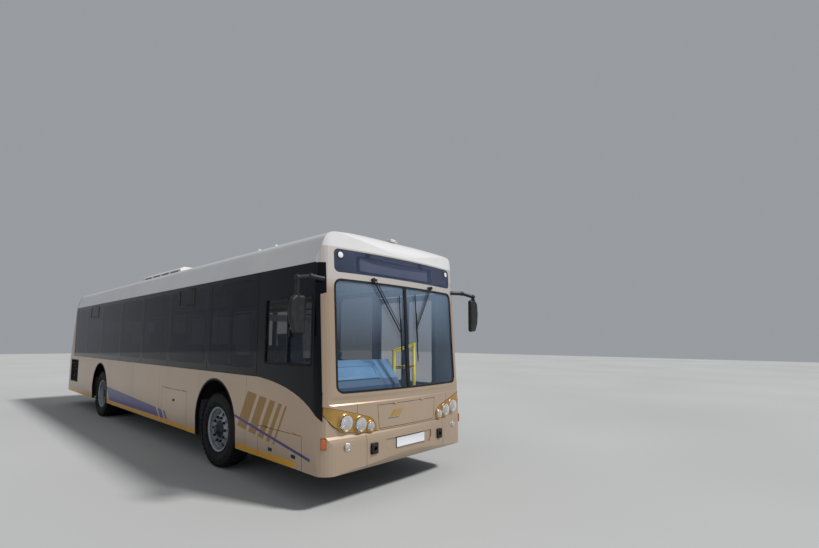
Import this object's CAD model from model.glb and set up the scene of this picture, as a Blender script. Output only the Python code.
import math
import bpy
from mathutils import Matrix, Vector


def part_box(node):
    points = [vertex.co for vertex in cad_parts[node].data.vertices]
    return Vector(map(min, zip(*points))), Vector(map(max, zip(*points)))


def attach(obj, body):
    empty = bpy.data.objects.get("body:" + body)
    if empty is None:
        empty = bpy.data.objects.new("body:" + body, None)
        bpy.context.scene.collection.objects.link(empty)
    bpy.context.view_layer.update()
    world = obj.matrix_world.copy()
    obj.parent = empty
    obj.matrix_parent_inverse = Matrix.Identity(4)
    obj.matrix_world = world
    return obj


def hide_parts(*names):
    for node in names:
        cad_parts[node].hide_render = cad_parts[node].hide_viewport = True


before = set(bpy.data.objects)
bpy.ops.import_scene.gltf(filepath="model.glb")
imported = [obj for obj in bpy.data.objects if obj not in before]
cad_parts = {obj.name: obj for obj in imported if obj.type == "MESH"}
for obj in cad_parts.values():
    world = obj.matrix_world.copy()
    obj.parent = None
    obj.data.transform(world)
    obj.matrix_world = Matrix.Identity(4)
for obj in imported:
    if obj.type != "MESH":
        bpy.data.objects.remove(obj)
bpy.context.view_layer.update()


# Chassis frame. Two channel rails with cross members and outriggers, pressed from steel
# plate, welded, and dipped in black chassis paint, which dries satin and gathers road dust.

def linear(hex_value):
    parts = [int(hex_value[i:i + 2], 16) / 255 for i in (1, 3, 5)]
    return tuple(p / 12.92 if p <= 0.04045 else ((p + 0.055) / 1.055) ** 2.4 for p in parts) + (1.0,)


def start_finish(name, **values):
    finish = bpy.data.materials.new(name)
    finish.use_nodes = True
    shader = finish.node_tree.nodes["Principled BSDF"]
    for socket, value in values.items():
        shader.inputs[socket.replace("_", " ")].default_value = value
    return finish


def first_output(source):
    # A node stands for its first output, and an output for itself
    return source.outputs[0] if isinstance(source, bpy.types.Node) else source


def add_node(finish, kind, sockets, **settings):
    node = finish.node_tree.nodes.new("ShaderNode" + kind)
    for name, value in settings.items():
        setattr(node, name, value)
    for socket, value in sockets.items():
        if isinstance(value, (bpy.types.Node, bpy.types.NodeSocket)):
            finish.node_tree.links.new(first_output(value), node.inputs[socket])
        else:
            node.inputs[socket].default_value = value
    return node


def feed(finish, socket, source):
    shader = finish.node_tree.nodes["Principled BSDF"]
    finish.node_tree.links.new(first_output(source), shader.inputs[socket])


def patches(finish, size, colours, low=0.35, high=0.65, detail=4.0):
    # Soft patches of a size in metres, from the first colour to the last
    place = add_node(finish, "TexCoord", {}).outputs["Object"]
    noise = add_node(finish, "TexNoise", {"Vector": place, "Scale": 1 / size, "Detail": detail})
    ramp = add_node(finish, "ValToRGB", {"Fac": noise})
    ramp.color_ramp.elements[0].position = low
    ramp.color_ramp.elements[1].position = high
    ramp.color_ramp.elements[0].color = linear(colours[0])
    ramp.color_ramp.elements[1].color = linear(colours[1])
    return ramp


def grain(finish, size, depth, detail=2.0):
    # Fine relief, its size and depth in metres
    place = add_node(finish, "TexCoord", {}).outputs["Object"]
    noise = add_node(finish, "TexNoise", {"Vector": place, "Scale": 1 / size, "Detail": detail})
    bump = add_node(finish, "Bump", {"Height": noise, "Distance": depth, "Strength": 1.0})
    feed(finish, "Normal", bump)


def shine(finish, size, low, high):
    # Roughness that wanders between two values
    place = add_node(finish, "TexCoord", {}).outputs["Object"]
    noise = add_node(finish, "TexNoise", {"Vector": place, "Scale": 1 / size, "Detail": 3.0})
    spread = add_node(finish, "MapRange", {"Value": noise, "To Min": low, "To Max": high})
    feed(finish, "Roughness", spread)


def plain_finish(name, colours, patch, rough, relief, spread=(), **values):
    # Patches of a size in two colours, with the values that shine and grain take
    finish = start_finish(name, **values)
    feed(finish, "Base Color", patches(finish, patch, colours, *spread))
    shine(finish, *rough)
    grain(finish, *relief)
    return finish


def dress(finish, *names):
    for name in names:
        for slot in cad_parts[name].material_slots:
            slot.link = "OBJECT"
            slot.material = finish


dress(plain_finish("satin_chassis_paint", ("#1b1b1c", "#3b3732"), 0.25, (0.08, 0.42, 0.7), (0.004, 0.0004),
                   Specular_IOR_Level=0.4), "chassis_frame")

# Front and rear axles, knuckles. Forged and cast steel, shot-blasted and sprayed dark grey;
# the skin stays slightly pitted, and dust settles on it in patches.

dress(plain_finish("painted_cast_steel", ("#2a2a2b", "#4a453e"), 0.09, (0.05, 0.5, 0.8), (0.006, 0.0008),
                   Specular_IOR_Level=0.35), "front_axle", "rear_axle", "knuckle_right", "knuckle_left")

# Engine and gearbox. One cast block, bolted in between the frame's rails and sprayed with grey
# enamel, which oil mist darkens in patches.

dress(plain_finish("engine_grey_enamel", ("#34352f", "#6b6f72"), 0.18, (0.06, 0.35, 0.65), (0.008, 0.0009),
                   Specular_IOR_Level=0.45), "engine")

# Fuel tank and air reservoirs. Rolled aluminium sheet with welded ends, strapped up under the
# floor and dulled by the road.

dress(plain_finish("rolled_aluminium", ("#8a8c8c", "#b4b6b6"), 0.12, (0.05, 0.32, 0.5), (0.003, 0.0002),
                   Metallic=1.0), "tanks")

# Floor, steps and wheel housings. Sealed plywood and steel under a sheet of speckled grey
# vinyl with moulded studs, which keeps a dull sheen. Underneath, and on the housings' wheel
# side, sprayed black underseal with road dust.

floor_sheet = start_finish("studded_vinyl", Specular_IOR_Level=0.3)
vinyl = patches(floor_sheet, 0.02, ("#5b5f62", "#6d7174"), 0.4, 0.6, 1.0)
normal = add_node(floor_sheet, "NewGeometry", {}).outputs["Normal"]
facing = add_node(floor_sheet, "SeparateXYZ", {"Vector": normal})
spot = add_node(floor_sheet, "TexCoord", {}).outputs["Object"]
across = add_node(floor_sheet, "SeparateXYZ", {"Vector": spot}).outputs["Y"]
outward = add_node(floor_sheet, "Math", {0: across}, operation="SIGN")
to_side = add_node(floor_sheet, "Math", {0: facing.outputs["Y"], 1: outward}, operation="MULTIPLY")
wheel_side = add_node(floor_sheet, "Math", {0: to_side, 1: 0.5}, operation="GREATER_THAN")
below = add_node(floor_sheet, "Math", {0: facing.outputs["Z"], 1: -0.05}, operation="LESS_THAN")
sealed = add_node(floor_sheet, "Math", {0: wheel_side, 1: below}, operation="MAXIMUM")
underseal = patches(floor_sheet, 0.15, ("#161617", "#2c2925"))
feed(floor_sheet, "Base Color", add_node(floor_sheet, "Mix", {0: sealed, 6: vinyl, 7: underseal},
                                         data_type="RGBA").outputs[2])
shine(floor_sheet, 0.2, 0.55, 0.72)
studs = add_node(floor_sheet, "TexVoronoi", {"Vector": spot, "Scale": 34.0, "Randomness": 0.0})
stud_rise = add_node(floor_sheet, "MapRange", {"Value": studs, "From Min": 0.22, "From Max": 0.3,
                                               "To Min": 1.0, "To Max": 0.0})
stud_bump = add_node(floor_sheet, "Bump", {"Height": stud_rise, "Distance": 0.0008, "Strength": 0.7})
feed(floor_sheet, "Normal", stud_bump)
dress(floor_sheet, "floor")

# Rims. Rolled steel rings with a pressed disc, sprayed silver; brake dust greys the hub.
# The meshes are the frame's own, merged, with smooth shading, so the ring reads as round.


def select_only(piece):
    bpy.ops.object.select_all(action="DESELECT")
    piece.select_set(True)
    bpy.context.view_layer.objects.active = piece


def in_edit_mode(*steps):
    # Runs operators, each with its values, on what is selected in the active mesh
    bpy.ops.object.mode_set(mode="EDIT")
    for step, values in steps:
        step(**values)
    bpy.ops.object.mode_set(mode="OBJECT")


def copy_smooth(name, piece_name, body, finish):
    # A copy of a solid's mesh with its loose triangles joined and its curves shaded smooth
    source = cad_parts[name]
    piece = bpy.data.objects.new(piece_name, source.data.copy())
    bpy.context.scene.collection.objects.link(piece)
    select_only(piece)
    in_edit_mode((bpy.ops.mesh.select_all, {"action": "SELECT"}),
                 (bpy.ops.mesh.remove_doubles, {"threshold": 0.00002}))
    bpy.ops.object.shade_smooth_by_angle(angle=math.radians(32))
    piece.data.materials.clear()
    piece.data.materials.append(finish)
    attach(piece, body)
    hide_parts(name)
    return piece


wheel_bodies = {"front_right": "wheel_front_right", "front_left": "wheel_front_left",
                "rear_right": "wheels_rear_right", "rear_left": "wheels_rear_left"}
axle_x = {"front": 3.35, "rear": -2.6}
hub_z = 0.522
rim_paint = start_finish("silver_rim_paint", Metallic=0.5, Coat_Weight=0.2, Coat_Roughness=0.2)
silver = patches(rim_paint, 0.12, ("#8b9097", "#a5aab1"), 0.3, 0.7)
spot = add_node(rim_paint, "TexCoord", {}).outputs["Object"]
place = add_node(rim_paint, "SeparateXYZ", {"Vector": spot})
rise = add_node(rim_paint, "Math", {0: place.outputs["Z"], 1: hub_z}, operation="SUBTRACT")
past_rear = add_node(rim_paint, "Math", {0: place.outputs["X"], 1: 0.0}, operation="GREATER_THAN")
axle_at = add_node(rim_paint, "MapRange", {"Value": past_rear, "To Min": axle_x["rear"],
                                           "To Max": axle_x["front"]})
along = add_node(rim_paint, "Math", {0: place.outputs["X"], 1: axle_at}, operation="SUBTRACT")
flat = add_node(rim_paint, "CombineXYZ", {"X": along, "Z": rise})
from_hub = add_node(rim_paint, "VectorMath", {0: flat}, operation="LENGTH").outputs["Value"]
hub_dust = add_node(rim_paint, "MapRange", {"Value": from_hub, "From Min": 0.135, "From Max": 0.115,
                                            "To Min": 0.0, "To Max": 0.92})
dusted = add_node(rim_paint, "Mix", {0: hub_dust, 6: silver, 7: linear("#1f1e1e")}, data_type="RGBA")
feed(rim_paint, "Base Color", dusted.outputs[2])
shine(rim_paint, 0.04, 0.38, 0.55)
grain(rim_paint, 0.002, 0.0001)
for corner, body in wheel_bodies.items():
    rim = copy_smooth(body.replace("wheel", "rim"), "rim_" + corner + "_shown", body, rim_paint)

# Wheel nuts. Forged hexagons on a bolt circle of 335 mm, phosphated dark, with a collar under
# each and the end of its stud standing out; a plain cap closes the hub.


def settle(piece):
    select_only(piece)
    bpy.ops.object.transform_apply(location=True, rotation=True, scale=True)


def finish_piece(piece, name, finish, body, smooth=35.0):
    piece.name = name
    piece.data.name = name
    settle(piece)
    bpy.ops.object.shade_smooth_by_angle(angle=math.radians(smooth))
    piece.data.materials.clear()
    piece.data.materials.append(finish)
    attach(piece, body)
    return piece


def apply_modifier(piece, kind, **settings):
    # Adds a modifier with its settings, and makes it part of the mesh
    modifier = piece.modifiers.new(kind.lower(), kind)
    for name, value in settings.items():
        setattr(modifier, name, value)
    select_only(piece)
    bpy.ops.object.modifier_apply(modifier=modifier.name)


def soften(piece, width, segments=2):
    apply_modifier(piece, "BEVEL", width=width, segments=segments, angle_limit=math.radians(35),
                   use_clamp_overlap=True)


def add_block(low, high, edge=0.0, segments=2):
    bpy.ops.object.select_all(action="DESELECT")
    middle = [(a + b) / 2 for a, b in zip(low, high)]
    bpy.ops.mesh.primitive_cube_add(size=1, location=middle)
    piece = bpy.context.object
    piece.scale = [b - a for a, b in zip(low, high)]
    settle(piece)
    if edge:
        soften(piece, edge, segments)
    return piece


def add_rod(start, end, radius, sides=20, edge=0.0, end_radius=None):
    start, end = Vector(start), Vector(end)
    way = end - start
    end_radius = radius if end_radius is None else end_radius
    bpy.ops.object.select_all(action="DESELECT")
    bpy.ops.mesh.primitive_cone_add(vertices=sides, radius1=radius, radius2=end_radius, depth=way.length,
                                    location=(start + end) / 2,
                                    rotation=way.to_track_quat("Z", "Y").to_euler())
    piece = bpy.context.object
    settle(piece)
    if edge:
        soften(piece, edge)
    return piece


def join(pieces):
    bpy.ops.object.select_all(action="DESELECT")
    for piece in pieces:
        piece.select_set(True)
    bpy.context.view_layer.objects.active = pieces[0]
    bpy.ops.object.join()
    return bpy.context.object


def copy_to(piece, place):
    twin = piece.copy()
    twin.data = piece.data.copy()
    bpy.context.scene.collection.objects.link(twin)
    twin.data.transform(place)
    return twin


def copies(piece, places):
    # One copy at each place, in exchange for the piece
    made = [copy_to(piece, place) for place in places]
    bpy.data.objects.remove(piece)
    return made


def round_hub(count, radius):
    turns = [2 * math.pi * i / count for i in range(count)]
    return [Matrix.Translation((radius * math.cos(a), 0, radius * math.sin(a))) for a in turns]


wheel_y = 1.078
stud_count = 10
bolt_circle_r = 0.1675
nut_metal = plain_finish("phosphated_steel", ("#2c2c2e", "#4c4d4f"), 0.02, (0.01, 0.25, 0.45),
                         (0.0015, 0.0001), Metallic=0.8)
for corner, body in wheel_bodies.items():
    side = -1 if corner.endswith("right") else 1
    row = corner.split("_")[0]
    seat = 0.0955 if row == "front" else -0.1515
    face = 0.15 if row == "front" else 0.08
    cap_r = 0.05 if row == "front" else 0.062
    nut = add_rod((0, seat, 0), (0, seat + 0.025, 0), 0.0185, sides=6, edge=0.001)
    collar = add_rod((0, seat, 0), (0, seat + 0.005, 0), 0.023, sides=20, edge=0.0008)
    stud = add_rod((0, seat + 0.02, 0), (0, seat + 0.036, 0), 0.0105, sides=14, edge=0.001)
    nuts = copies(join([nut, collar, stud]), round_hub(stud_count, bolt_circle_r))
    cap = add_rod((0, face - 0.002, 0), (0, face + 0.014, 0), cap_r, sides=36, edge=0.004)
    cap_bolt = add_rod((0, face - 0.002, 0), (0, face + 0.006, 0), 0.0055, sides=6, edge=0.0005)
    bolts = join(nuts + [cap] + copies(cap_bolt, round_hub(stud_count, cap_r + 0.004)))
    if side < 0:
        bolts.data.transform(Matrix.Rotation(math.pi, 4, "Z"))
    bolts.data.transform(Matrix.Translation((axle_x[row], side * wheel_y, hub_z)))
    finish_piece(bolts, "wheel_nuts_" + corner, nut_metal, body)

# Tyres. Moulded rubber of 295 mm section: five ribs cut into blocks round the tread, a
# shoulder, and a sidewall with fine raised rings that holds a film of grey dust.


def pick_verts(piece, test):
    for part in (piece.data.polygons, piece.data.edges, piece.data.vertices):
        for item in part:
            item.select = False
    for vertex in piece.data.vertices:
        vertex.select = test(vertex.co)


def add_ring(middle, radius, thick, axis=(0, 1, 0), steps=48, sides=10):
    bpy.ops.object.select_all(action="DESELECT")
    bpy.ops.mesh.primitive_torus_add(major_radius=radius, minor_radius=thick, major_segments=steps,
                                     minor_segments=sides, location=middle,
                                     rotation=Vector(axis).to_track_quat("Z", "Y").to_euler())
    ring = bpy.context.object
    settle(ring)
    return ring


tyre_rubber = plain_finish("tyre_rubber", ("#101012", "#201f1e"), 0.12, (0.05, 0.62, 0.85), (0.003, 0.0003),
                           (0.3, 0.7), Specular_IOR_Level=0.3)
tread_r = 0.522
groove = 0.011
twin_gap = 0.332
rib_places = [(-0.119, 0.044), (-0.062, 0.046), (0.0, 0.052), (0.062, 0.046), (0.119, 0.044)]
block_count = 44
bpy.ops.object.select_all(action="DESELECT")
bpy.ops.object.empty_add(location=(0, 0, 0), rotation=(0, 2 * math.pi / block_count, 0))
turn = bpy.context.object
ribs = []
for number, (rib_y, rib_w) in enumerate(rib_places):
    outermost = number in (0, 4)
    length = 2 * math.pi * tread_r / block_count * (0.84 if outermost else 0.9)
    low_z = tread_r - groove - 0.006
    top_z = tread_r - (0.0032 if outermost else 0.0012)
    rib = add_block((-length / 2, rib_y - rib_w / 2, low_z), (length / 2, rib_y + rib_w / 2, top_z),
                    edge=0.003)
    if outermost:
        outer = rib_y + math.copysign(rib_w / 2, rib_y)
        pick_verts(rib, lambda co: abs(co.y - outer) < 0.006 and co.z > low_z + 0.004)
        in_edit_mode((bpy.ops.transform.translate, {"value": (0, 0, -0.009)}))
    rib.data.transform(Matrix.Rotation(math.radians(4.1 * (number % 2)), 4, "Y"))
    apply_modifier(rib, "ARRAY", fit_type="FIXED_COUNT", count=block_count, use_relative_offset=False,
                   use_object_offset=True, offset_object=turn)
    ribs.append(rib)
tread = join(ribs)
bpy.data.objects.remove(turn)
wall_y, wall_bulge, wall_mid_r = 0.0475, 0.1, 0.402
wall_rings = []
for ring_r, ring_t in ((0.470, 0.0022), (0.452, 0.0016), (0.352, 0.0022)):
    for s in (-1, 1):
        depth = wall_y + math.sqrt(max(wall_bulge ** 2 - (ring_r - wall_mid_r) ** 2, 0))
        wall_rings.append(add_ring((0, s * depth, 0), ring_r, ring_t, steps=72, sides=6))
tread = join([tread] + wall_rings)
for corner, body in wheel_bodies.items():
    side = -1 if corner.endswith("right") else 1
    row = corner.split("_")[0]
    carcass = copy_smooth(body.replace("wheel", "tyre"), "tyre_" + corner + "_shown", body, tyre_rubber)
    centre = Vector((axle_x[row], 0, hub_z))
    pick_verts(carcass, lambda co: math.hypot(co.x - centre.x, co.z - centre.z) > tread_r - 0.014)
    select_only(carcass)
    shrink = (tread_r - groove) / tread_r
    in_edit_mode((bpy.ops.transform.resize, {"value": (shrink, 1, shrink), "center_override": centre}))
    for number, inset in enumerate([0.0] if row == "front" else [0.0, twin_gap]):
        blocks = copy_to(tread, Matrix.Translation((centre.x, side * (wheel_y - inset), hub_z)))
        finish_piece(blocks, "tread_" + corner + "_" + "ab"[number], tyre_rubber, body)
bpy.data.objects.remove(tread)

# Side walls, ends, mask, bumpers and flaps. Aluminium sheet and glass-fibre mouldings, primed,
# sprayed with champagne base coat that holds fine metal flake, then lacquered. Bars and lines
# are painted on, seams between panels show dark, and the saloon side is grey laminate.


def paint_area(finish, ground, colour, *limits):
    # Lays a colour over the ground where every value lies between its two limits
    mask = None
    for value, low, high in limits:
        inside = add_node(finish, "Math", {0: value, 1: (low + high) / 2, 2: (high - low) / 2},
                          operation="COMPARE")
        mask = inside if mask is None else add_node(finish, "Math", {0: mask, 1: inside},
                                                    operation="MULTIPLY")
    return add_node(finish, "Mix", {0: mask, 6: ground, 7: linear(colour)}, data_type="RGBA").outputs[2]


far = 9.0
side_face = 1.2
champagne = start_finish("champagne_metallic_lacquer", Metallic=0.55, Coat_Weight=0.3, Coat_Roughness=0.05)
ground = patches(champagne, 1.4, ("#b7a089", "#c1ab95"), 0.3, 0.7, 2.0)
spot = add_node(champagne, "TexCoord", {}).outputs["Object"]
place = add_node(champagne, "SeparateXYZ", {"Vector": spot})
px, py, pz = place.outputs["X"], place.outputs["Y"], place.outputs["Z"]
out_y = add_node(champagne, "Math", {0: py}, operation="ABSOLUTE")
flank = (out_y, side_face, far)

# Long violet band along the skirt, its top edge falling forwards, with a slanted front end and
# two short bars ahead of it
top_edge = add_node(champagne, "Math", {0: px, 1: 0.045, 2: pz}, operation="MULTIPLY_ADD")
band_end = add_node(champagne, "Math", {0: pz, 1: 0.9, 2: px}, operation="MULTIPLY_ADD")
for end_low, end_high in ((-1.35, 1.62), (1.70, 1.86), (1.94, 2.02)):
    ground = paint_area(champagne, ground, "#3f3880", flank, (pz, 0.452, far), (top_edge, -far, 0.652),
                        (band_end, end_low, end_high))

# Five gold bars that thin out towards the front, and a thin purple line across them
bar_place = add_node(champagne, "Math", {0: pz, 1: -0.55, 2: px}, operation="MULTIPLY_ADD")
bar_ends = add_node(champagne, "Math", {0: px, 1: 0.12, 2: pz}, operation="MULTIPLY_ADD")
for bar_low, bar_high in ((3.66, 3.90), (3.97, 4.15), (4.22, 4.35), (4.42, 4.50), (4.57, 4.61)):
    ground = paint_area(champagne, ground, "#96702f", flank, (bar_place, bar_low, bar_high),
                        (bar_ends, 1.16, 1.66))
line_place = add_node(champagne, "Math", {0: px, 1: 0.17, 2: pz}, operation="MULTIPLY_ADD")
ground = paint_area(champagne, ground, "#3a3378", flank, (line_place, 1.452, 1.486), (px, 2.9, 5.62))

# Yellow strip along the sill
ground = paint_area(champagne, ground, "#e3a50f", flank, (pz, 0.375, 0.445), (px, -5.86, 5.34))

# Pale paint round the destination sign
pale = add_node(champagne, "MapRange", {"Value": pz, "From Min": 2.36, "From Max": 2.5, "To Min": 0.0,
                                        "To Max": 0.75})
at_front = add_node(champagne, "Math", {0: px, 1: 5.6}, operation="GREATER_THAN")
pale_mask = add_node(champagne, "Math", {0: pale, 1: at_front}, operation="MULTIPLY")
ground = add_node(champagne, "Mix", {0: pale_mask, 6: ground, 7: linear("#e3deda")},
                  data_type="RGBA").outputs[2]

# Black band behind the glass
ground = paint_area(champagne, ground, "#0c0f1a", flank, (pz, 1.336, 2.656), (px, -5.3, 5.672))

# Small motif on the flap between the lamps: three bars over a line, drawn from their slant
slant = add_node(champagne, "Math", {0: pz, 1: -0.9, 2: py}, operation="MULTIPLY_ADD")
for bar_low, bar_high in ((-1.16, -1.10), (-1.08, -1.04), (-1.025, -1.0)):
    ground = paint_area(champagne, ground, "#b98f3f", (px, 5.8, far), (slant, bar_low, bar_high),
                        (pz, 0.905, 0.985))
ground = paint_area(champagne, ground, "#4a4390", (px, 5.8, far), (slant, -1.17, -0.99), (pz, 0.886, 0.894))

# Black edge round each wheel arch
arch_z = 0.62
arch_edge_r = 0.63
for row_x in axle_x.values():
    along = add_node(champagne, "Math", {0: px, 1: row_x}, operation="SUBTRACT")
    above = add_node(champagne, "Math", {0: pz, 1: arch_z}, operation="SUBTRACT")
    flat = add_node(champagne, "CombineXYZ", {"X": along, "Z": above})
    reach = add_node(champagne, "VectorMath", {0: flat}, operation="LENGTH").outputs["Value"]
    ground = paint_area(champagne, ground, "#121213", flank, (above, 0.0, far), (reach, -1.0, arch_edge_r))
    ground = paint_area(champagne, ground, "#121213", flank, (above, -far, 0.0),
                        (along, -arch_edge_r, arch_edge_r))

# Seams between the skirt's panels, and down the mask and bumper
seam_dark = "#4b443b"
for seam in (2.82, 1.21, -0.25, -1.75, -3.55, -4.62, 4.24):
    ground = paint_area(champagne, ground, seam_dark, flank, (px, seam - 0.0025, seam + 0.0025),
                        (pz, 0.3, 1.336))
ground = paint_area(champagne, ground, seam_dark, (px, 5.6, far), (out_y, 0.7, 0.705), (pz, 0.3, 0.76))
ground = paint_area(champagne, ground, seam_dark, (px, 5.6, far), (out_y, 0.82, 0.825), (pz, 0.8, 1.09))

# Road dust low down
low_down = add_node(champagne, "MapRange", {"Value": pz, "From Min": 0.85, "From Max": 0.34, "To Min": 0.0,
                                            "To Max": 0.3})
dust_noise = add_node(champagne, "TexNoise", {"Vector": spot, "Scale": 5.0, "Detail": 6.0})
dust = add_node(champagne, "Math", {0: low_down, 1: dust_noise}, operation="MULTIPLY")
ground = add_node(champagne, "Mix", {0: dust, 6: ground, 7: linear("#84786a")}, data_type="RGBA").outputs[2]

# Saloon side of the walls and ends, told from the way each face looks
normal = add_node(champagne, "NewGeometry", {}).outputs["Normal"]
facing = add_node(champagne, "SeparateXYZ", {"Vector": normal})
inward_y = add_node(champagne, "Math", {0: py, 1: facing.outputs["Y"]}, operation="MULTIPLY")
inward_x = add_node(champagne, "Math", {0: px, 1: facing.outputs["X"]}, operation="MULTIPLY")
ground = paint_area(champagne, ground, "#8d9295", (inward_y, -3.0, -0.5))
for end_low, end_high in ((5.3, far), (-far, -5.2)):
    ground = paint_area(champagne, ground, "#8d9295", (inward_x, -far, -1.5), (px, end_low, end_high))
feed(champagne, "Base Color", ground)
gloss = add_node(champagne, "MapRange", {"Value": dust, "From Max": 0.4, "To Min": 0.34, "To Max": 0.6})
feed(champagne, "Roughness", gloss)
grain(champagne, 0.02, 0.00004)
dress(champagne, "side_right", "side_left", "service_flap", "corner_flap")
dress(champagne, "rear_end", "engine_hood", "rear_bumper")
dress(champagne, "front_mask", "bumper", "front_flap")

# Latches of the corner and service flaps. Paddles in a round-cornered pan, moulded in black
# nylon and clipped into each flap's sheet.


def seat_at(node, start, aim):
    # Where a line from start towards aim first meets a node, and the way the node faces there
    start = Vector(start)
    met, point, outward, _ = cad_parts[node].ray_cast(start, (Vector(aim) - start).normalized())
    if not met:
        raise RuntimeError("no seat found on " + node)
    return point, outward


def stand_on(piece, point, outward):
    # Puts a piece that was made round the origin, its back at zero height, on its seat
    turned = Vector(outward).to_track_quat("Z", "Y").to_matrix().to_4x4()
    piece.data.transform(Matrix.Translation(point) @ turned)
    return piece


latch_black = plain_finish("glass_filled_nylon", ("#141415", "#222224"), 0.03, (0.02, 0.45, 0.6),
                           (0.0015, 0.0001), Specular_IOR_Level=0.4)
for name, node, body, latch_x, latch_z in (
        ("latch_corner_fore", "corner_flap", "side_corner_flap", 5.31, 0.50),
        ("latch_corner_aft", "corner_flap", "side_corner_flap", 4.83, 0.50),
        ("latch_service", "service_flap", "side_service_flap", 1.875, 0.80)):
    pan = add_block((-0.04, -0.02, -0.002), (0.04, 0.02, 0.003), edge=0.002)
    paddle = add_block((-0.03, -0.0115, 0.002), (0.03, 0.0115, 0.009), edge=0.003)
    pick_verts(paddle, lambda co: co.z > 0.006 and co.y > 0)
    in_edit_mode((bpy.ops.transform.translate, {"value": (0, 0, -0.003)}))
    latch = stand_on(join([pan, paddle]), *seat_at(node, (latch_x, -2, latch_z), (latch_x, 0, latch_z)))
    finish_piece(latch, name, latch_black, body)

# Wheel arch edges. Black rubber lips pushed over the sheet's edge, round over the arch and
# straight down to the sill, dull with road dust.

lip_rubber = plain_finish("extruded_epdm_lip", ("#161617", "#2b2825"), 0.1, (0.05, 0.6, 0.8),
                          (0.003, 0.0002), Specular_IOR_Level=0.25)
lip_r = 0.607
lip_t = 0.0105
lip_y, lip_foot_y, lip_foot_z = 1.2695, 1.2545, 0.374
sides = ((-1, "right"), (1, "left"))
for row, arch_x in axle_x.items():
    for side, word in sides:
        arch = add_ring((arch_x, side * lip_y, arch_z), lip_r, lip_t, steps=96)
        pick_verts(arch, lambda co: co.z < arch_z - 0.005)
        in_edit_mode((bpy.ops.mesh.delete, {"type": "VERT"}))
        legs = [add_rod((leg_x, side * lip_y, arch_z + 0.004), (leg_x, side * lip_foot_y, lip_foot_z),
                        lip_t, sides=10, edge=0.001) for leg_x in (arch_x - lip_r, arch_x + lip_r)]
        finish_piece(join([arch] + legs), "arch_lip_" + row + "_" + word, lip_rubber, "coach")

# Front number plate. Aluminium sheet pressed with a raised rim, coated white and left
# blank, held in a black moulded frame by two screws.


def press_face(piece, axis, least_area, *insets):
    # Insets the broad face that looks along an axis, each time by a width and a rise
    pick_verts(piece, lambda co: False)
    for polygon in piece.data.polygons:
        polygon.select = polygon.normal[axis] > 0.9 and polygon.area > least_area
    bpy.context.tool_settings.mesh_select_mode = (False, False, True)
    in_edit_mode(*[(bpy.ops.mesh.inset, {"thickness": width, "depth": rise}) for width, rise in insets])
    bpy.context.tool_settings.mesh_select_mode = (True, False, False)


frame_black = plain_finish("moulded_plate_frame", ("#17181a", "#232427"), 0.03, (0.03, 0.35, 0.5),
                           (0.0015, 0.0001), Specular_IOR_Level=0.45)
plate_white = plain_finish("reflective_plate_sheeting", ("#d7dade", "#e4e6e9"), 0.004, (0.02, 0.3, 0.42),
                           (0.0015, 0.00005), (0.4, 0.6, 1.0), Coat_Weight=0.3, Coat_Roughness=0.15)
plate_mid = Vector((5.9242, 0.03, 0.594))
holder = add_block((0, -0.267, -0.063), (0.007, 0.267, 0.063), edge=0.003)
holder.data.transform(Matrix.Translation(plate_mid))
finish_piece(holder, "plate_frame", frame_black, "coach")
plate = add_block((0.0065, -0.26, -0.056), (0.0085, 0.26, 0.056), edge=0.0006)
press_face(plate, 0, 0.01, (0.006, 0.0012), (0.003, -0.0012))
screws = [add_rod((0.008, y, 0.0), (0.0105, y, 0.0), 0.006, sides=16, edge=0.001) for y in (-0.225, 0.225)]
plate = join([plate] + screws)
plate.data.transform(Matrix.Translation(plate_mid))
finish_piece(plate, "number_plate_blank", plate_white, "coach")

# Towing covers. Square rubber blocks round each front towing socket, which take a knock and
# keep the socket's bore free.


def cut_with(piece, tool):
    apply_modifier(piece, "BOOLEAN", operation="DIFFERENCE", solver="EXACT", object=tool)
    bpy.data.objects.remove(tool)
    return piece


block_rubber = plain_finish("moulded_buffer_rubber", ("#151516", "#27272a"), 0.05, (0.03, 0.5, 0.7),
                            (0.003, 0.0003), Specular_IOR_Level=0.3)
tow_y = 0.6
tow_z = 0.585
for side, word in sides:
    block = add_block((5.9148, side * tow_y - 0.05, tow_z - 0.06),
                      (5.9485, side * tow_y + 0.05, tow_z + 0.06), edge=0.009)
    bore = add_rod((5.90, side * tow_y, tow_z), (5.97, side * tow_y, tow_z), 0.0245, sides=32)
    finish_piece(cut_with(block, bore), "tow_cover_" + word, block_rubber, "coach")

# Roof, cove and dome. Aluminium roof sheet and a glass-fibre dome, sprayed cream white;
# rain leaves faint grey runs across it.

cream = start_finish("cream_white_lacquer", Coat_Weight=0.6, Coat_Roughness=0.08)
tint = patches(cream, 0.9, ("#dcdadb", "#e6e4e3"), 0.3, 0.7, 3.0)
stretch = add_node(cream, "Mapping", {"Vector": add_node(cream, "TexCoord", {}).outputs["Object"],
                                      "Scale": (9.0, 0.7, 1.0)})
runs = add_node(cream, "TexNoise", {"Vector": stretch, "Scale": 1.6, "Detail": 5.0})
run_mask = add_node(cream, "MapRange", {"Value": runs, "From Min": 0.55, "From Max": 0.85, "To Max": 0.12})
feed(cream, "Base Color", add_node(cream, "Mix", {0: run_mask, 6: tint, 7: linear("#b9b4a8")},
                                   data_type="RGBA").outputs[2])
shine(cream, 0.5, 0.25, 0.4)
grain(cream, 0.03, 0.00005)
dress(cream, "roof", "front_dome")

# Roof unit and hatches. Glass-fibre covers in the roof's colour with a matt gel coat; the
# unit's flanks carry rows of black louvre blades.

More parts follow.
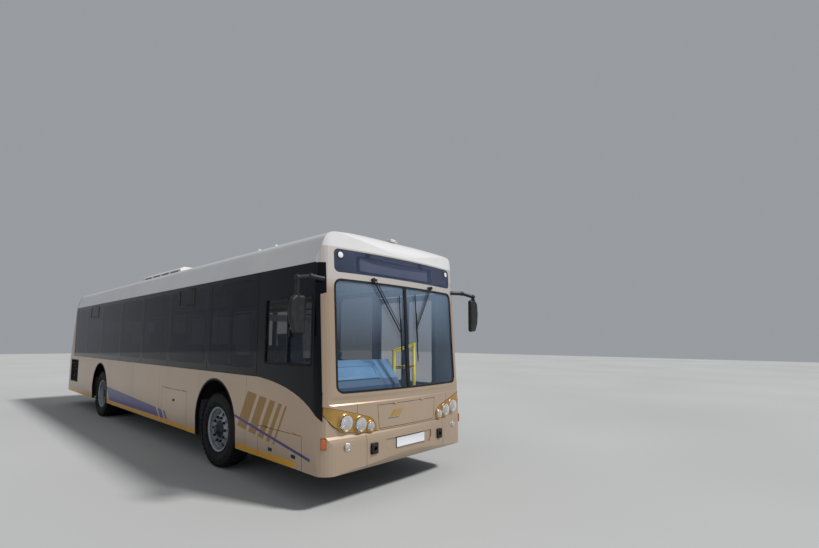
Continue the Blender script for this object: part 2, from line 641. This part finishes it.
gel_coat = plain_finish("matt_gel_coat", ("#cfcdcb", "#dddbd8"), 0.4, (0.2, 0.45, 0.6), (0.006, 0.0002),
                        Specular_IOR_Level=0.4)
dress(gel_coat, "roof_units")
blades = []
for blade_x in (-1.25, -0.75, -0.25, 0.25):
    for side in (-1, 1):
        for level in range(4):
            blade_z = 3.13 + 0.018 * level
            seat, outward = seat_at("roof_units", (blade_x, side * 1.6, blade_z), (blade_x, 0, blade_z))
            blade = add_block((-0.19, -0.005, -0.002), (0.19, 0.005, 0.004), edge=0.0015)
            blades.append(stand_on(blade, seat, outward))
finish_piece(join(blades), "roof_unit_louvres", latch_black, "coach")

# Roof edge lamps. Small opal domes moulded with a round base, two along each edge of the
# roof, screwed down on its sheet.

dome_white = plain_finish("opal_polycarbonate", ("#e8e9ea", "#f2f3f3"), 0.02, (0.02, 0.12, 0.2),
                          (0.002, 0.00005), Coat_Weight=0.8, Coat_Roughness=0.04)
edge_lamps = []
for lamp_x in (4.55, 4.13):
    for side in (-1, 1):
        seat, outward = seat_at("roof", (lamp_x, side * 1.6, 3.5), (lamp_x, side * 1.02, 2.96))
        base = add_rod((0, 0, -0.003), (0, 0, 0.006), 0.03, sides=24, edge=0.002)
        dome = add_rod((0, 0, 0.005), (0, 0, 0.02), 0.022, sides=24, edge=0.009, end_radius=0.016)
        edge_lamps.append(stand_on(join([base, dome]), seat, outward))
finish_piece(join(edge_lamps), "roof_edge_lamps", dome_white, "coach")

# Roof aerial. Low moulded cover in the roof's colour on a flat foot, sealed down on the
# dome's middle.

seat, outward = seat_at("front_dome", (5.56, 0.0, 4.0), (5.56, 0.0, 3.0))
foot = add_block((-0.095, -0.065, -0.004), (0.095, 0.065, 0.008), edge=0.004)
cover = add_block((-0.08, -0.05, 0.004), (0.08, 0.05, 0.038), edge=0.014, segments=4)
finish_piece(stand_on(join([foot, cover]), seat, outward), "roof_aerial", gel_coat, "coach")

# Window band. Tinted toughened glass bonded to the frame edge to edge; nearly black from
# outside, it mirrors a little of whatever it faces.


def see_through(finish, square_on, grazing=1.0):
    # How much a pane hides of what lies behind: least when looked at square on, most at a glance
    away = add_node(finish, "LayerWeight", {"Blend": 0.5}).outputs["Facing"]
    glance = add_node(finish, "Math", {0: away, 1: 4.0}, operation="POWER")
    return add_node(finish, "MapRange", {"Value": glance, "To Min": square_on, "To Max": grazing})


def clear_field(finish, along, height, ends, low, high, corner):
    # 1 inside a round-cornered field of a pane, 0 on the enamelled border round it
    middle, half = sum(ends) / 2, abs(ends[0] - ends[1]) / 2
    reach = []
    for value, centre, size in ((along, middle, half), (height, (low + high) / 2, (high - low) / 2)):
        gap = add_node(finish, "Math", {0: value, 1: centre}, operation="SUBTRACT")
        gap = add_node(finish, "Math", {0: gap}, operation="ABSOLUTE")
        gap = add_node(finish, "Math", {0: gap, 1: size - corner}, operation="SUBTRACT")
        reach.append(add_node(finish, "Math", {0: gap, 1: 0.0}, operation="MAXIMUM"))
    spread = add_node(finish, "CombineXYZ", {"X": reach[0], "Y": reach[1]})
    outside = add_node(finish, "VectorMath", {0: spread}, operation="LENGTH").outputs["Value"]
    return add_node(finish, "Math", {0: outside, 1: corner}, operation="LESS_THAN")


band_glass = start_finish("tinted_bonded_glass", IOR=1.45, Roughness=0.04, Specular_IOR_Level=0.25)
spot = add_node(band_glass, "TexCoord", {}).outputs["Object"]
place = add_node(band_glass, "SeparateXYZ", {"Vector": spot})
px, py, pz = place.outputs["X"], place.outputs["Y"], place.outputs["Z"]
seams = (4.48, 3.05, 1.55, 0.16, -1.22, -2.69, -4.05, -5.276)
pane_ends = {-1: list(zip(seams, seams[1:])),
             1: [(4.05, 3.05), (3.05, 1.525), (0.125, -1.22)] + list(zip(seams[4:], seams[5:]))}
fields = None
for side, ends in pane_ends.items():
    on_side = add_node(band_glass, "Math", {0: py, 1: 1.25 * side, 2: 0.1}, operation="COMPARE")
    for fore, aft in ends:
        field = clear_field(band_glass, px, pz, (fore - 0.05, aft + 0.05), 1.44, 2.585, 0.09)
        field = add_node(band_glass, "Math", {0: field, 1: on_side}, operation="MULTIPLY")
        fields = field if fields is None else add_node(band_glass, "Math", {0: fields, 1: field},
                                                       operation="MAXIMUM")
at_rear = add_node(band_glass, "Math", {0: px, 1: -5.5}, operation="LESS_THAN")
rear_field = clear_field(band_glass, py, pz, (-0.88, 0.88), 1.61, 2.37, 0.08)
rear_field = add_node(band_glass, "Math", {0: rear_field, 1: at_rear}, operation="MULTIPLY")
fields = add_node(band_glass, "Math", {0: fields, 1: rear_field}, operation="MAXIMUM")
tint = patches(band_glass, 1.8, ("#0a0f1c", "#121a2c"), 0.3, 0.7, 2.0)
feed(band_glass, "Base Color", add_node(band_glass, "Mix", {0: fields, 6: linear("#040507"), 7: tint},
                                        data_type="RGBA").outputs[2])
pane_cover = add_node(band_glass, "MapRange", {"Value": fields, "To Min": 1.0, "To Max": 0.6})
feed(band_glass, "Alpha", see_through(band_glass, pane_cover))
dress(band_glass, "side_glass", "rear_window")

# Vents. Small top-hung flaps in two panes of each side, in a black anodised frame with a
# lip along its lower edge.

anodised_black = plain_finish("black_anodised_aluminium", ("#141517", "#212326"), 0.06, (0.04, 0.35, 0.5),
                              (0.0015, 0.00005), Metallic=0.6)
vent_low, vent_high = 2.34, 2.61
bar = 0.009
for side, word in sides:
    near, outer = sorted((side * 1.274, side * 1.281))
    for number, (low_x, high_x) in enumerate(((1.94, 2.52), (-3.71, -3.05))):
        bars = [add_block((low_x, near, z - bar), (high_x, outer, z + bar), edge=0.002)
                for z in (vent_low, vent_high)]
        bars += [add_block((x - bar, near, vent_low - bar), (x + bar, outer, vent_high + bar), edge=0.002)
                 for x in (low_x, high_x)]
        middle = (low_x + high_x) / 2
        bars.append(add_block((middle - 0.04, near, vent_low), (middle + 0.04, outer, vent_low + 0.03),
                              edge=0.002))
        finish_piece(join(bars), "vent_frame_" + word + "_" + str(number + 1), anodised_black, "coach")

# Black corner panels. Sheet in polished black enamel, fixed flush with the glass band round
# the cab.

dress(plain_finish("black_glass_enamel", ("#04060d", "#080c17"), 0.8, (0.3, 0.12, 0.25), (0.05, 0.00003),
                   (0.3, 0.7, 2.0), IOR=1.45, Specular_IOR_Level=0.2, Coat_Weight=0.08,
                   Coat_Roughness=0.04), "cab_panels")

# Driver's window and door panes. Lightly tinted toughened glass; the driver's two panes slide
# past each other in a black anodised frame.

cab_glass = start_finish("lightly_tinted_glass", IOR=1.52, Roughness=0.02, Specular_IOR_Level=0.4)
feed(cab_glass, "Base Color", patches(cab_glass, 0.8, ("#161d24", "#202a33"), 0.3, 0.7, 1.0))
feed(cab_glass, "Alpha", see_through(cab_glass, 0.32, 0.8))
dress(cab_glass, "driver_window", *[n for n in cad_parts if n.endswith("_glass") and "door" in n])
near, outer = -1.2735, -1.2615
low_x, high_x, low_z, high_z = 4.652, 5.624, 1.502, 2.308
rail, stile = 0.014, 0.013
bars = [add_block((low_x, near, z - rail), (high_x, outer, z + rail), edge=0.003)
        for z in (low_z + rail, high_z - rail)]
bars += [add_block((x - stile, near, low_z), (x + stile, outer, high_z), edge=0.003)
         for x in (low_x + stile, (low_x + high_x) / 2, high_x - stile)]
bars.append(add_block((5.16, -1.2735, 1.83), (5.19, -1.262, 1.95), edge=0.004))
finish_piece(join(bars), "driver_window_frame", anodised_black, "coach")

# Windscreen. Laminated clear glass in two panes, faintly blue; a shade band fades out below
# its upper edge.

clear_glass = start_finish("laminated_clear_glass", IOR=1.52, Roughness=0.02, Specular_IOR_Level=0.6)
feed(clear_glass, "Base Color", patches(clear_glass, 0.7, ("#829cb8", "#95acc6"), 0.3, 0.7, 1.0))
spot = add_node(clear_glass, "TexCoord", {}).outputs["Object"]
height = add_node(clear_glass, "SeparateXYZ", {"Vector": spot}).outputs["Z"]
shade_band = add_node(clear_glass, "MapRange", {"Value": height, "From Min": 1.75, "From Max": 2.45,
                                                "To Min": 0.05, "To Max": 0.3})
feed(clear_glass, "Alpha", see_through(clear_glass, shade_band, 0.6))
dress(clear_glass, "windscreen")

# Sign glass. Slate tinted glass bonded over the destination sign, which shows dark when it
# is off.

slate_glass = start_finish("slate_tinted_glass", IOR=1.52, Roughness=0.04, Specular_IOR_Level=0.4)
feed(slate_glass, "Base Color", patches(slate_glass, 0.5, ("#3f4b68", "#4c5a7c"), 0.3, 0.7, 1.0))
feed(slate_glass, "Alpha", see_through(slate_glass, 0.3, 0.9))
dress(slate_glass, "sign_glass")

# Destination sign's lamp field. A slate grey board set with round dull red lamps at 20 mm,
# all unlit, fixed to the front of the sign's housing.

lamp_field = start_finish("unlit_lamp_matrix", Roughness=0.4, Specular_IOR_Level=0.4)
dots = add_node(lamp_field, "TexVoronoi", {"Vector": add_node(lamp_field, "TexCoord", {}).outputs["Object"],
                                           "Scale": 50.0, "Randomness": 0.0})
feed(lamp_field, "Base Color", paint_area(lamp_field, patches(lamp_field, 0.3, ("#84879a", "#9194a6")),
                                          "#b8564c", (dots, -0.3, 0.3)))
grain(lamp_field, 0.004, 0.0001)
sign_y, sign_z = -0.04, 2.7
seat, outward = seat_at("sign_board", (7, sign_y, sign_z), (5, sign_y, sign_z))
field = add_block((-0.64, -0.082, -0.002), (0.64, 0.082, 0.006), edge=0.002)
finish_piece(stand_on(field, seat, outward), "sign_lamp_field", lamp_field, "coach")

# Upper marker lamps. Round white lamps moulded in opal plastic, each in a dark bezel that is
# bonded on a corner of the sign glass.

for side, word in sides:
    seat, outward = seat_at("sign_glass", (7, side * 1.0, 2.765), (5, side * 1.0, 2.765))
    bezel = add_ring((0, 0, 0.001), 0.037, 0.0055, axis=(0, 0, 1), steps=36)
    finish_piece(stand_on(bezel, seat, outward), "marker_bezel_" + word, latch_black, "coach")
    lens = add_rod((0, 0, -0.001), (0, 0, 0.009), 0.035, sides=36, edge=0.005)
    finish_piece(stand_on(lens, seat, outward), "marker_lens_" + word, dome_white, "coach")

# Window seals. Extruded black rubber, pressed into the frame so that it grips both panes;
# matt, with a dry bloom.

seal_rubber = plain_finish("extruded_seal_rubber", ("#131315", "#232325"), 0.05, (0.03, 0.6, 0.8),
                           (0.002, 0.0001), Specular_IOR_Level=0.25)
dress(seal_rubber, "window_seals")

# Grilles, towing sockets, wipers and sign housing. Injection-moulded black plastic with a
# fine grain that scatters light to charcoal.

dress(plain_finish("grained_black_plastic", ("#17181a", "#26272a"), 0.06, (0.04, 0.45, 0.62),
                   (0.0025, 0.0002), Specular_IOR_Level=0.4), "side_grille", "tow_sockets", "wipers",
      "sign_board")

# Door leaves. Welded aluminium tube in satin black powder coat, glazed with tinted panes, with
# rubber strips along their upright edges.

door_coat = plain_finish("satin_black_powder_coat", ("#141619", "#202327"), 0.15, (0.05, 0.35, 0.5),
                         (0.0015, 0.00008), Specular_IOR_Level=0.45)
leaf_bodies = {"front_door_fore": "front_leaf_fore", "front_door_aft": "front_leaf_aft",
               "mid_door_fore": "mid_leaf_fore", "mid_door_aft": "mid_leaf_aft"}
dress(door_coat, *leaf_bodies)
for node, body in leaf_bodies.items():
    low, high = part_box(node)
    strips = [add_block((x - 0.010, 1.273, low[2] + 0.03), (x + 0.010, 1.2775, high[2] - 0.03), edge=0.0015)
              for x in (low[0] + 0.022, high[0] - 0.022)]
    finish_piece(join(strips), node + "_strips", lip_rubber, body)

# Mirrors. Arms and heads moulded in dark grey plastic, with silvered glass bonded on the rear
# face of each head.

dress(plain_finish("moulded_grey_plastic", ("#1b1b1e", "#27282b"), 0.08, (0.05, 0.35, 0.5),
                   (0.002, 0.00012), Specular_IOR_Level=0.4), "mirrors")
silvering = start_finish("silvered_mirror_glass", Metallic=1.0)
feed(silvering, "Base Color", patches(silvering, 0.3, ("#d5dade", "#e0e4e7")))
shine(silvering, 0.1, 0.02, 0.04)
for word, glass_x, glass_y, low_z, high_z in (("right", 5.62, -1.474, 1.9, 2.235),
                                              ("left", 5.908, 1.474, 1.99, 2.37)):
    middle = (low_z + high_z) / 2
    seat, outward = seat_at("mirrors", (glass_x - 1, glass_y, middle), (glass_x, glass_y, middle))
    glass = add_block((-0.062, low_z - middle, -0.001), (0.062, high_z - middle, 0.002), edge=0.0015)
    finish_piece(stand_on(glass, seat, outward), "mirror_glass_" + word, silvering, "coach")

# Lamp clusters. A moulded housing lacquered gold; each lamp sits in a polished gold ring over
# a chromed bowl with its bulb cap, behind a clear lens.

bow_r = 7.0
fog_y, fog_z = 0.97, 0.65


def mask_x(y):
    # Where the mask's face stands at a place across, by the bow of the bus's front
    return 5.925 - bow_r + math.sqrt(bow_r ** 2 - y * y)


def add_bowl(middle, radius, depth, facing_out):
    # The lower half of a ball, squeezed to its depth, open the way it faces
    bpy.ops.object.select_all(action="DESELECT")
    bpy.ops.mesh.primitive_uv_sphere_add(segments=36, ring_count=18, radius=radius)
    bowl = bpy.context.object
    pick_verts(bowl, lambda co: co.z > 0.0005)
    in_edit_mode((bpy.ops.mesh.delete, {"type": "VERT"}), (bpy.ops.mesh.select_all, {"action": "SELECT"}),
                 (bpy.ops.transform.resize, {"value": (1, 1, depth / radius)}),
                 (bpy.ops.mesh.flip_normals, {}))
    apply_modifier(bowl, "SOLIDIFY", thickness=0.0015)
    return stand_on(bowl, middle, facing_out)


lamp_gold = plain_finish("gold_lacquered_housing", ("#a87c33", "#c39c55"), 0.2, (0.08, 0.24, 0.36),
                         (0.004, 0.00005), (0.3, 0.7), Metallic=0.75, Coat_Weight=0.6, Coat_Roughness=0.08)
dress(lamp_gold, "headlamps")
chrome = start_finish("chromed_reflector", Metallic=1.0)
feed(chrome, "Base Color", patches(chrome, 0.05, ("#d9dbdd", "#eceded")))
shine(chrome, 0.02, 0.2, 0.34)
flutes = add_node(chrome, "TexWave", {"Vector": add_node(chrome, "TexCoord", {}).outputs["Object"],
                                      "Scale": 22.0}, bands_direction="Y")
flute_bump = add_node(chrome, "Bump", {"Height": flutes.outputs["Fac"], "Distance": 0.003, "Strength": 0.7})
feed(chrome, "Normal", flute_bump)
lamp_places = ((0.980, 0.900, 0.086), (0.786, 0.868, 0.080), (0.636, 0.832, 0.054))
for side, word in sides:
    rings, bowls = [], []
    for lamp_y, lamp_z, lamp_r in lamp_places:
        face = mask_x(lamp_y)
        outward = (math.sqrt(bow_r ** 2 - lamp_y ** 2) / bow_r, side * lamp_y / bow_r, 0)
        rings.append(add_ring((face + 0.002, side * lamp_y, lamp_z), lamp_r + 0.006, 0.014, axis=outward,
                              steps=56, sides=16))
        rings.append(add_ring((face - 0.003, side * lamp_y, lamp_z), lamp_r - 0.009, 0.0035, axis=outward,
                              steps=56))
        bowls.append(add_bowl((face - 0.034, side * lamp_y, lamp_z), lamp_r - 0.0085, 0.045, (1, 0, 0)))
        bowls.append(add_rod((face - 0.078, side * lamp_y, lamp_z), (face - 0.038, side * lamp_y, lamp_z),
                             0.0095, sides=20, edge=0.003))
        bowls.append(add_ring((face - 0.036, side * lamp_y, lamp_z), lamp_r * 0.52, 0.0018, axis=(1, 0, 0)))
    fog_face = mask_x(fog_y) + 0.025
    bowls.append(add_ring((fog_face + 0.004, side * fog_y, fog_z), 0.0375, 0.0042,
                          axis=(0.99, side * 0.138, 0)))
    bowls.append(add_bowl((fog_face - 0.021, side * fog_y, fog_z), 0.0325, 0.026, (1, 0, 0)))
    finish_piece(join(rings), "lamp_rings_" + word, lamp_gold, "coach")
    finish_piece(join(bowls), "lamp_bowls_" + word, chrome, "coach")
lens_clear = start_finish("moulded_clear_polycarbonate", IOR=1.58, Roughness=0.03, Specular_IOR_Level=0.8)
feed(lens_clear, "Base Color", patches(lens_clear, 0.05, ("#e3e8ec", "#f4f6f8"), 0.3, 0.7, 1.0))
feed(lens_clear, "Alpha", see_through(lens_clear, 0.26, 0.8))
for side, word in sides:
    lenses = []
    for lamp_y, lamp_z, lamp_r in lamp_places:
        centre = (mask_x(lamp_y) - 0.006, side * lamp_y, lamp_z)
        lenses.append(add_bowl(centre, lamp_r - 0.003, 0.016, (-1, 0, 0)))
    lenses.append(add_bowl((mask_x(fog_y) + 0.02, side * fog_y, fog_z), 0.0335, 0.009, (-1, 0, 0)))
    lens_set = finish_piece(join(lenses), "lamp_lenses_" + word, lens_clear, "coach")
    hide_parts("lamp_lenses")

# Side marker lamps. Amber lens with moulded ribs on a black base, screwed to the bumper at
# each front corner.

amber_lens = start_finish("moulded_amber_polycarbonate", Coat_Weight=0.8, Coat_Roughness=0.04,
                          Roughness=0.25)
ribs_at = add_node(amber_lens, "TexWave", {"Vector": add_node(amber_lens, "TexCoord", {}).outputs["Object"],
                                           "Scale": 30.0}, bands_direction="Z")
rib_ramp = add_node(amber_lens, "ValToRGB", {"Fac": ribs_at.outputs["Fac"]})
rib_ramp.color_ramp.elements[0].color = linear("#b8480f")
rib_ramp.color_ramp.elements[1].color = linear("#e8761c")
feed(amber_lens, "Base Color", rib_ramp)
rib_bump = add_node(amber_lens, "Bump", {"Height": ribs_at.outputs["Fac"], "Distance": 0.001,
                                         "Strength": 0.6})
feed(amber_lens, "Normal", rib_bump)
for side, word in sides:
    seat, outward = seat_at("bumper", (6.0, side * 2.0, 0.705), (5.76, side * 1.1, 0.705))
    base = add_block((-0.031, -0.06, -0.006), (0.031, 0.06, 0.005), edge=0.002)
    finish_piece(stand_on(base, seat, outward), "side_marker_base_" + word, latch_black, "coach")
    lens = add_block((-0.027, -0.054, 0.004), (0.027, 0.054, 0.020), edge=0.007, segments=3)
    finish_piece(stand_on(lens, seat, outward), "side_marker_lens_" + word, amber_lens, "coach")

# Tail lamps. One body in three fields over a prism-cut inner face: amber above, red in the
# middle, clear below.

tail_lens = start_finish("moulded_tail_polycarbonate", IOR=1.58, Coat_Weight=0.8, Coat_Roughness=0.03,
                         Roughness=0.25)
spot = add_node(tail_lens, "TexCoord", {}).outputs["Object"]
prisms = add_node(tail_lens, "TexVoronoi", {"Vector": spot, "Scale": 70.0, "Randomness": 0.0})
prism_shade = add_node(tail_lens, "ValToRGB", {"Fac": prisms})
prism_shade.color_ramp.elements[0].color = linear("#c01418")
prism_shade.color_ramp.elements[1].color = linear("#7c080b")
height = add_node(tail_lens, "SeparateXYZ", {"Vector": spot}).outputs["Z"]
fields = paint_area(tail_lens, prism_shade, "#d9700f", (height, 1.11, 1.4))
fields = paint_area(tail_lens, fields, "#b9bcbf", (height, 0.6, 0.865))
for edge_z in (0.87, 1.105):
    fields = paint_area(tail_lens, fields, "#141415", (height, edge_z - 0.006, edge_z + 0.006))
feed(tail_lens, "Base Color", fields)
prism_bump = add_node(tail_lens, "Bump", {"Height": prisms, "Distance": 0.002, "Strength": 0.6})
feed(tail_lens, "Normal", prism_bump)
dress(tail_lens, "rear_lamps")

# Dashboard. One moulding of blue grained plastic across the cab's width, with a raised pod
# lid screwed to the slope that faces the windscreen.

dash_blue = start_finish("blue_grained_plastic", Specular_IOR_Level=0.4)
dash_skin = patches(dash_blue, 0.25, ("#47749b", "#5583ab"), 0.3, 0.7, 2.0)
spot = add_node(dash_blue, "TexCoord", {}).outputs["Object"]
height = add_node(dash_blue, "SeparateXYZ", {"Vector": spot}).outputs["Z"]
feed(dash_blue, "Base Color", paint_area(dash_blue, dash_skin, "#2f4f6e", (height, 0.5, 1.335)))
shine(dash_blue, 0.05, 0.45, 0.6)
grain(dash_blue, 0.003, 0.0003)
dress(dash_blue, "dashboard")
seat, outward = seat_at("dashboard", (7.0, -0.62, 1.62), (5.55, -0.62, 1.42))
lid = add_block((-0.36, -0.115, -0.004), (0.36, 0.115, 0.016), edge=0.005, segments=3)
press_face(lid, 2, 0.02, (0.045, 0.0), (0.006, -0.007))
finish_piece(stand_on(lid, seat, outward), "dash_pod_lid", dash_blue, "coach")

# Steering wheel and column. Steel ring under moulded black foam with a leather-like skin, on
# a column bolted to the cab's floor.

dress(plain_finish("moulded_foam_skin", ("#161617", "#242425"), 0.03, (0.02, 0.5, 0.65), (0.002, 0.0002),
                   Specular_IOR_Level=0.35), "steering_wheel")

# Partition. Laminated board behind the driver, light grey with a fine speckle, screwed to the
# floor.

dress(plain_finish("speckled_laminate_board", ("#999da0", "#a4a7a9"), 0.02, (0.2, 0.4, 0.52),
                   (0.002, 0.00006), (0.4, 0.6, 1.0), Specular_IOR_Level=0.4), "partition")

# Handrails and poles. Steel tube, cut and joined to length, in bright yellow powder coat so
# that passengers find them.

rail_yellow = plain_finish("yellow_powder_coat", ("#e3d010", "#f6ea22"), 0.1, (0.03, 0.3, 0.42),
                           (0.002, 0.00006), (0.3, 0.7), Coat_Weight=0.2)
rails = copy_smooth("handrails", "handrails_shown", "coach", rail_yellow)
# The guard beside the front door is of thicker tube
pick_verts(rails, lambda co: co.x > 4.6)
in_edit_mode((bpy.ops.transform.shrink_fatten, {"value": 0.006}))

# Seats. Pairs of moulded shells on a steel leg, each with a foam cushion and back under woven
# blue cloth; the driver's seat is a single one on a wider leg.


def swell(pad, pressure, cap):
    # Blows a closed pad up as cloth, then holds each point to the cap
    before = [vertex.co.copy() for vertex in pad.data.vertices]
    cloth = pad.modifiers.new("cloth", "CLOTH")
    cloth.settings.quality = 6
    cloth.settings.use_pressure = True
    cloth.settings.uniform_pressure_force = pressure
    cloth.settings.effector_weights.gravity = 0
    for number in range(1, 19):
        bpy.context.scene.frame_set(number)
    select_only(pad)
    bpy.ops.object.modifier_apply(modifier="cloth")
    bpy.context.scene.frame_set(1)
    for vertex, start in zip(pad.data.vertices, before):
        way = vertex.co - start
        if way.length > cap:
            vertex.co = start + way * (cap / way.length)


def make_pad(low, high, cap):
    pad = add_block(low, high, edge=0.018, segments=3)
    pad.data.remesh_voxel_size = 0.014
    select_only(pad)
    bpy.ops.object.voxel_remesh()
    swell(pad, 3.0, cap)
    apply_modifier(pad, "SMOOTH", factor=0.6, iterations=4)
    return pad


weave = start_finish("woven_blue_moquette", Sheen_Weight=0.35, Specular_IOR_Level=0.2, Roughness=0.85)
spot = add_node(weave, "TexCoord", {}).outputs["Object"]
warp = add_node(weave, "TexWave", {"Vector": spot, "Scale": 70.0, "Distortion": 0.6}, bands_direction="X")
weft = add_node(weave, "TexWave", {"Vector": spot, "Scale": 70.0, "Distortion": 0.6}, bands_direction="Y")
cross = add_node(weave, "Math", {0: warp.outputs["Fac"], 1: weft.outputs["Fac"]}, operation="MAXIMUM")
yarn = add_node(weave, "ValToRGB", {"Fac": cross})
yarn.color_ramp.elements[0].color = linear("#16243f")
yarn.color_ramp.elements[1].color = linear("#33507c")
fleck = add_node(weave, "TexVoronoi", {"Vector": spot, "Scale": 28.0})
feed(weave, "Base Color", paint_area(weave, yarn, "#b98a3a", (fleck, -0.2, 0.16)))
thread_bump = add_node(weave, "Bump", {"Height": cross, "Distance": 0.0012, "Strength": 0.8})
feed(weave, "Normal", thread_bump)
shell_grey = plain_finish("moulded_seat_shell", ("#3a3d42", "#4a4e54"), 0.1, (0.05, 0.45, 0.6),
                          (0.002, 0.0001), Specular_IOR_Level=0.4)

seat_width = 0.43
cushion_pad = make_pad((0.004, -0.198, 0.392), (0.392, 0.198, 0.45), 0.012)
back_pad = make_pad((-0.056, -0.192, 0.46), (-0.014, 0.192, 1.02), 0.010)
shell_seat = add_block((-0.03, -0.208, 0.372), (0.408, 0.208, 0.394), edge=0.008)
shell_back = add_block((-0.072, -0.203, 0.40), (-0.058, 0.203, 1.035), edge=0.006)
hip = Vector((0, 0, 0.43))
tilt = Matrix.Translation(hip) @ Matrix.Rotation(math.radians(-8), 4, "Y") @ Matrix.Translation(-hip)
for tilted in (back_pad, shell_back):
    tilted.data.transform(tilt)
handle_top = tilt @ Vector((-0.062, 0, 1.03))
handle = add_rod((handle_top.x, -0.12, handle_top.z), (handle_top.x, 0.12, handle_top.z), 0.011, sides=14,
                 edge=0.003)
bench_y = 0.7487
low_floor_z, rear_floor_z, cab_floor_z = 0.68, 0.98, 0.86
bench_places = [(x / 1000, -bench_y, low_floor_z, True) for x in (1900, 1120, 340, -440, -1220)]
bench_places += [(x / 1000, bench_y, low_floor_z, True) for x in (2150, -640)]
bench_places += [(x / 1000, s * bench_y, rear_floor_z, True) for x in (-3500, -4280) for s in (-1, 1)]
number = 0
shells = []
for bx, by, bz, paired in bench_places + [(4.46, -0.68, cab_floor_z, False)]:
    seats_across = (-seat_width / 2, seat_width / 2) if paired else (0.0,)
    for sy in seats_across:
        number += 1
        move = Matrix.Translation((bx, by + sy, bz))
        for source, word in ((cushion_pad, "seat_cushion_"), (back_pad, "seat_back_")):
            pad = finish_piece(copy_to(source, move), word + str(number), weave, "coach",
                               60.0)
            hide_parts("seats")
        shells += [copy_to(source, move) for source in (shell_seat, shell_back, handle)]
    leg_w = 0.05 if paired else 0.16
    shells.append(add_block((bx + 0.10, by - leg_w, bz + 0.012), (bx + 0.27, by + leg_w, bz + 0.374),
                            edge=0.008))
    shells.append(add_block((bx + 0.04, by - leg_w - 0.05, bz), (bx + 0.33, by + leg_w + 0.05, bz + 0.014),
                            edge=0.004))
    across = (seat_width if paired else 0.2) - 0.02
    for tube_x in (bx + 0.06, bx + 0.32):
        shells.append(add_rod((tube_x, by - across, bz + 0.362), (tube_x, by + across, bz + 0.362), 0.016,
                              edge=0.004))
for source in (cushion_pad, back_pad, shell_seat, shell_back, handle):
    bpy.data.objects.remove(source)
seat_frames = finish_piece(join(shells), "seat_shells", shell_grey, "coach")
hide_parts("seats")

# Studio. A pale matt floor, an even sky, one soft sun, and a camera that stands and looks as
# the photographer's did, by the fit to the photograph.

bpy.ops.object.select_all(action="DESELECT")
bpy.ops.mesh.primitive_plane_add(size=120, location=(0, 0, 0))
studio_floor = bpy.context.object
studio_floor.name = "studio_floor"
floor_paint = start_finish("pale_studio_floor", Roughness=0.8, Specular_IOR_Level=0.1)
feed(floor_paint, "Base Color", patches(floor_paint, 6.0, ("#b4b4b2", "#bcbcba"), 0.3, 0.7, 1.0))
studio_floor.data.materials.append(floor_paint)

world = bpy.data.worlds.new("studio_sky")
bpy.context.scene.world = world
world.use_nodes = True
sky = world.node_tree.nodes["Background"]
sky.inputs["Color"].default_value = linear("#e6ebf2")
sky.inputs["Strength"].default_value = 0.4

sun_data = bpy.data.lights.new("soft_key", "SUN")
sun_data.energy = 3.0
sun_data.angle = math.radians(8)
sun = bpy.data.objects.new("soft_key", sun_data)
bpy.context.scene.collection.objects.link(sun)
sun.rotation_euler = Vector((-0.58, -0.27, -0.77)).to_track_quat("-Z", "Y").to_euler()

camera_data = bpy.data.cameras.new("photo_camera")
camera = bpy.data.objects.new("photo_camera", camera_data)
bpy.context.scene.collection.objects.link(camera)
camera_data.sensor_fit = "HORIZONTAL"
camera_data.sensor_width = 36
camera_data.lens = 19.343
camera_data.shift_x = 0.0265
camera_data.shift_y = 0.0327
camera_data.clip_end = 300
yaw, pitch, roll = (math.radians(a) for a in (133.6247, 5.3527, 0.4285))
ahead = Vector((math.cos(pitch) * math.cos(yaw), math.cos(pitch) * math.sin(yaw), math.sin(pitch)))
right = ahead.cross(Vector((0, 0, 1))).normalized()
up = right.cross(ahead)
right, up = (right * math.cos(roll) + up * math.sin(roll), up * math.cos(roll) - right * math.sin(roll))
camera_turn = Matrix((right, up, -ahead)).transposed().to_4x4()
camera.matrix_world = Matrix.Translation((9.5456, -4.1971, 1.7816)) @ camera_turn
bpy.context.scene.camera = camera
bpy.context.scene.view_settings.view_transform = "Standard"
